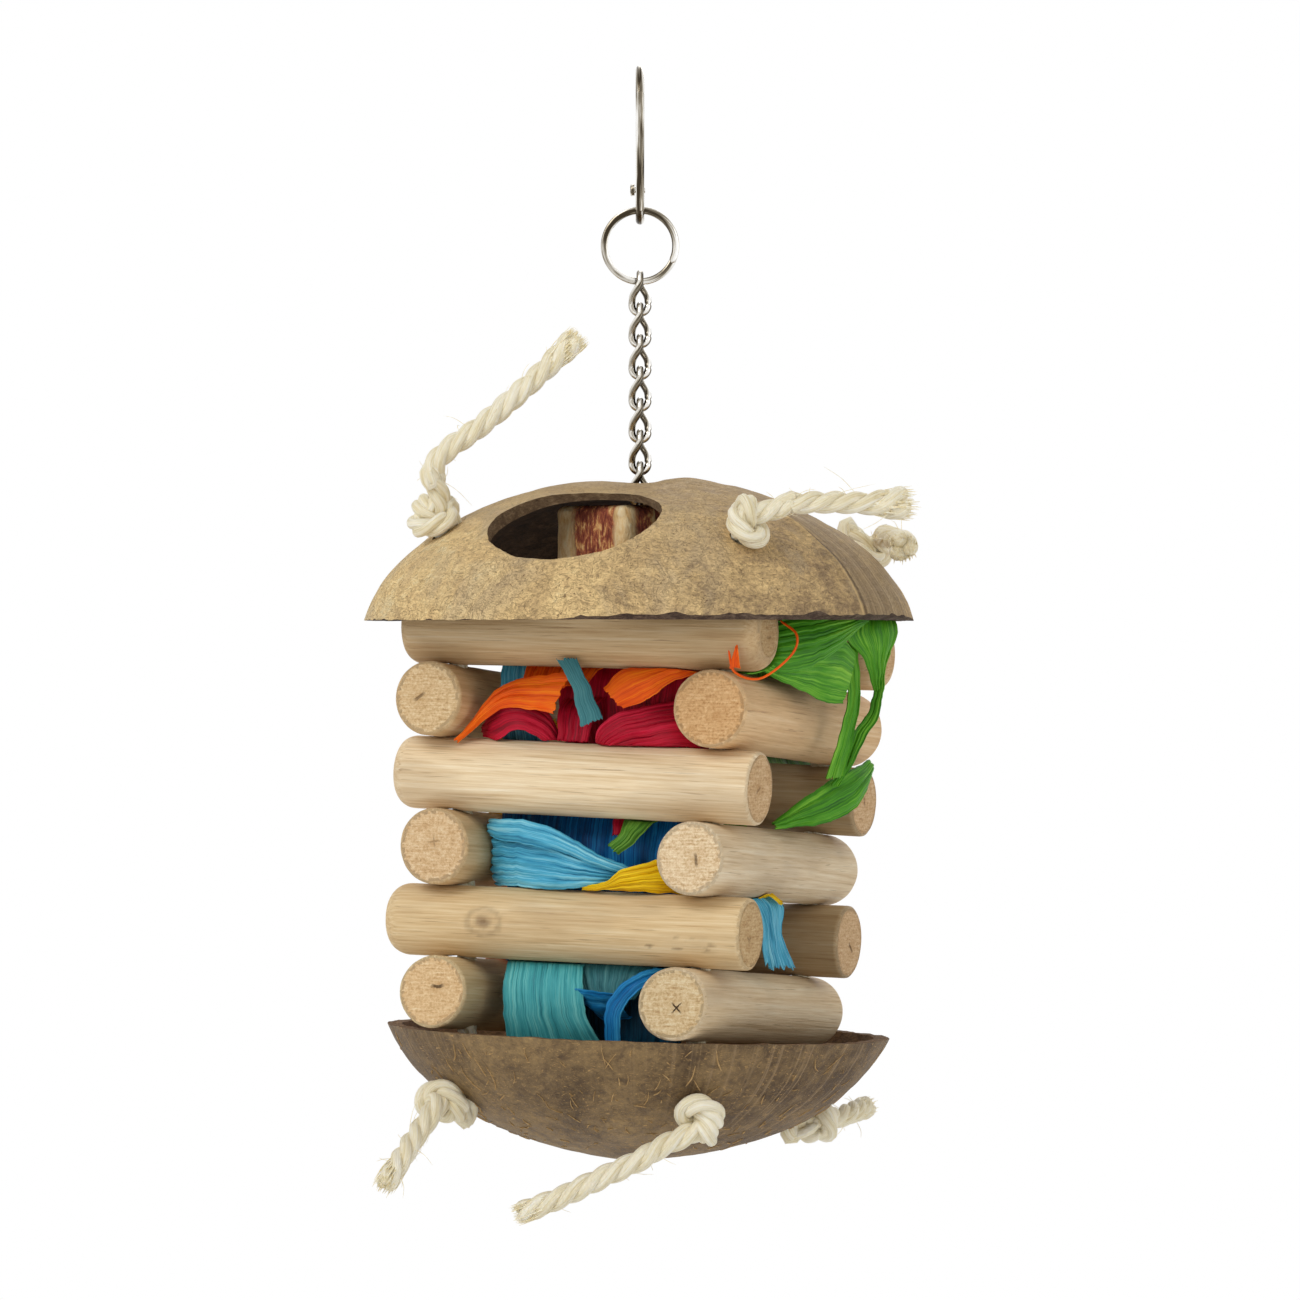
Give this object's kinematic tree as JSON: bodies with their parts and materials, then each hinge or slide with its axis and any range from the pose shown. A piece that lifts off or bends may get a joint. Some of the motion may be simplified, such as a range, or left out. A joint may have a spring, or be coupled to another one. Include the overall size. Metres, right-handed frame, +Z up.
{
  "type": "bird foraging hut",
  "caption": "Hanging bird foraging toy: a log-cabin stack of sticks stuffed with husk, tied by ropes between a coconut-shell roof with a hole and a coconut bowl, on a chain with a clip.",
  "frame": {"origin": "top of the clip's inside, where a cage bar or hook carries the toy", "axes": "+Z up along the hanging chain, +X along the left-to-right sticks, the foraging hole faces -Y"},
  "size_m": [0.1487, 0.1491, 0.2916],
  "materials": {
    "nickel": "bright nickel plate",
    "bark": "rough bark on a sawn block",
    "roof_shell": "pale fibrous coconut shell, matte",
    "bowl_shell": "dark scraped coconut shell, satin",
    "stick_wood": "peeled bare wood, matte",
    "sisal": "laid natural fibre rope",
    "husk_orange": "dyed corn husk",
    "husk_teal": "dyed corn husk",
    "husk_crimson": "dyed corn husk",
    "husk_blue": "dyed corn husk",
    "husk_navy": "dyed corn husk",
    "husk_green": "dyed corn husk",
    "husk_yellow": "dyed corn husk"
  },
  "bodies": {
    "clip": {"clip_body": "nickel", "gate_rivet": "nickel"},
    "gate": {"clip_gate": "nickel"},
    "ring": {"split_ring": "nickel"},
    "link_1": {"chain_link_1": "nickel"},
    "link_2": {"chain_link_2": "nickel"},
    "link_3": {"chain_link_3": "nickel"},
    "link_4": {"chain_link_4": "nickel"},
    "link_5": {"chain_link_5": "nickel"},
    "link_6": {"chain_link_6": "nickel"},
    "link_7": {"chain_link_7": "nickel"},
    "anchor": {"chain_link_8": "nickel", "anchor_block": "bark", "anchor_pin": "nickel"},
    "hut": {"coconut_roof": "roof_shell", "coconut_bowl": "bowl_shell", "stick_1_front": "stick_wood", "stick_1_back": "stick_wood", "stick_2_left": "stick_wood", "stick_2_right": "stick_wood", "stick_3_front": "stick_wood", "stick_3_back": "stick_wood", "stick_4_left": "stick_wood", "stick_4_right": "stick_wood", "stick_5_front": "stick_wood", "stick_5_back": "stick_wood", "stick_6_left": "stick_wood", "stick_6_right": "stick_wood", "rope_front_left": "sisal", "rope_front_right": "sisal", "rope_back_left": "sisal", "rope_back_right": "sisal", "tail_roof_front_left": "sisal", "tail_roof_front_right": "sisal", "tail_roof_back_left": "sisal", "tail_roof_back_right": "sisal", "tail_bowl_front_left": "sisal", "tail_bowl_front_right": "sisal", "tail_bowl_back_left": "sisal", "tail_bowl_back_right": "sisal", "husk_orange_left": "husk_orange", "husk_orange_right": "husk_orange", "husk_orange_low": "husk_orange", "husk_teal_strip": "husk_teal", "husk_teal_low": "husk_teal", "husk_crimson_front": "husk_crimson", "husk_crimson_back": "husk_crimson", "husk_blue_front": "husk_blue", "husk_blue_right": "husk_blue", "husk_navy_low": "husk_navy", "husk_green_front": "husk_green", "husk_green_back": "husk_green", "husk_green_leaf": "husk_green", "husk_green_strand": "husk_green", "husk_yellow_front": "husk_yellow", "husk_yellow_left": "husk_yellow"}
  },
  "joints": [
    {"name": "gate_hinge", "type": "hinge", "parent": "clip", "child": "gate", "pos_m": [-0.00195, 0.00471, -0.02924], "axis": [0.9239, 0.3827, 0], "range_deg": [0, 30], "stiffness_Nm_per_rad": 0.02, "springref_deg": -22.92},
    {"name": "ring_swing", "type": "hinge", "parent": "clip", "child": "ring", "pos_m": [0, 0, -0.0373], "axis": [-0.3827, 0.9239, 0], "range_deg": [-45, 45]},
    {"name": "link_1_swing", "type": "hinge", "parent": "ring", "child": "link_1", "pos_m": [0, 0, -0.05293], "axis": [0.9239, 0.3827, 0], "range_deg": [-30, 30]},
    {"name": "link_2_swing", "type": "hinge", "parent": "link_1", "child": "link_2", "pos_m": [0, 0, -0.05893], "axis": [0.3827, -0.9239, 0], "range_deg": [-30, 30]},
    {"name": "link_3_swing", "type": "hinge", "parent": "link_2", "child": "link_3", "pos_m": [0, 0, -0.06913], "axis": [-0.9239, -0.3827, 0], "range_deg": [-30, 30]},
    {"name": "link_4_swing", "type": "hinge", "parent": "link_3", "child": "link_4", "pos_m": [0, 0, -0.07513], "axis": [-0.3827, 0.9239, 0], "range_deg": [-30, 30]},
    {"name": "link_5_swing", "type": "hinge", "parent": "link_4", "child": "link_5", "pos_m": [0, 0, -0.08533], "axis": [0.9239, 0.3827, 0], "range_deg": [-30, 30]},
    {"name": "link_6_swing", "type": "hinge", "parent": "link_5", "child": "link_6", "pos_m": [0, 0, -0.09133], "axis": [0.3827, -0.9239, 0], "range_deg": [-30, 30]},
    {"name": "link_7_swing", "type": "hinge", "parent": "link_6", "child": "link_7", "pos_m": [0, 0, -0.10153], "axis": [-0.9239, -0.3827, 0], "range_deg": [-20, 20]},
    {"name": "anchor_swing", "type": "hinge", "parent": "link_7", "child": "anchor", "pos_m": [0, 0, -0.10753], "axis": [-0.3827, 0.9239, 0], "range_deg": [-15, 15]},
    {"name": "hut_turn", "type": "hinge", "parent": "anchor", "child": "hut", "pos_m": [0, 0, -0.11], "axis": [0, 0, 1], "continuous": true}
  ]
}
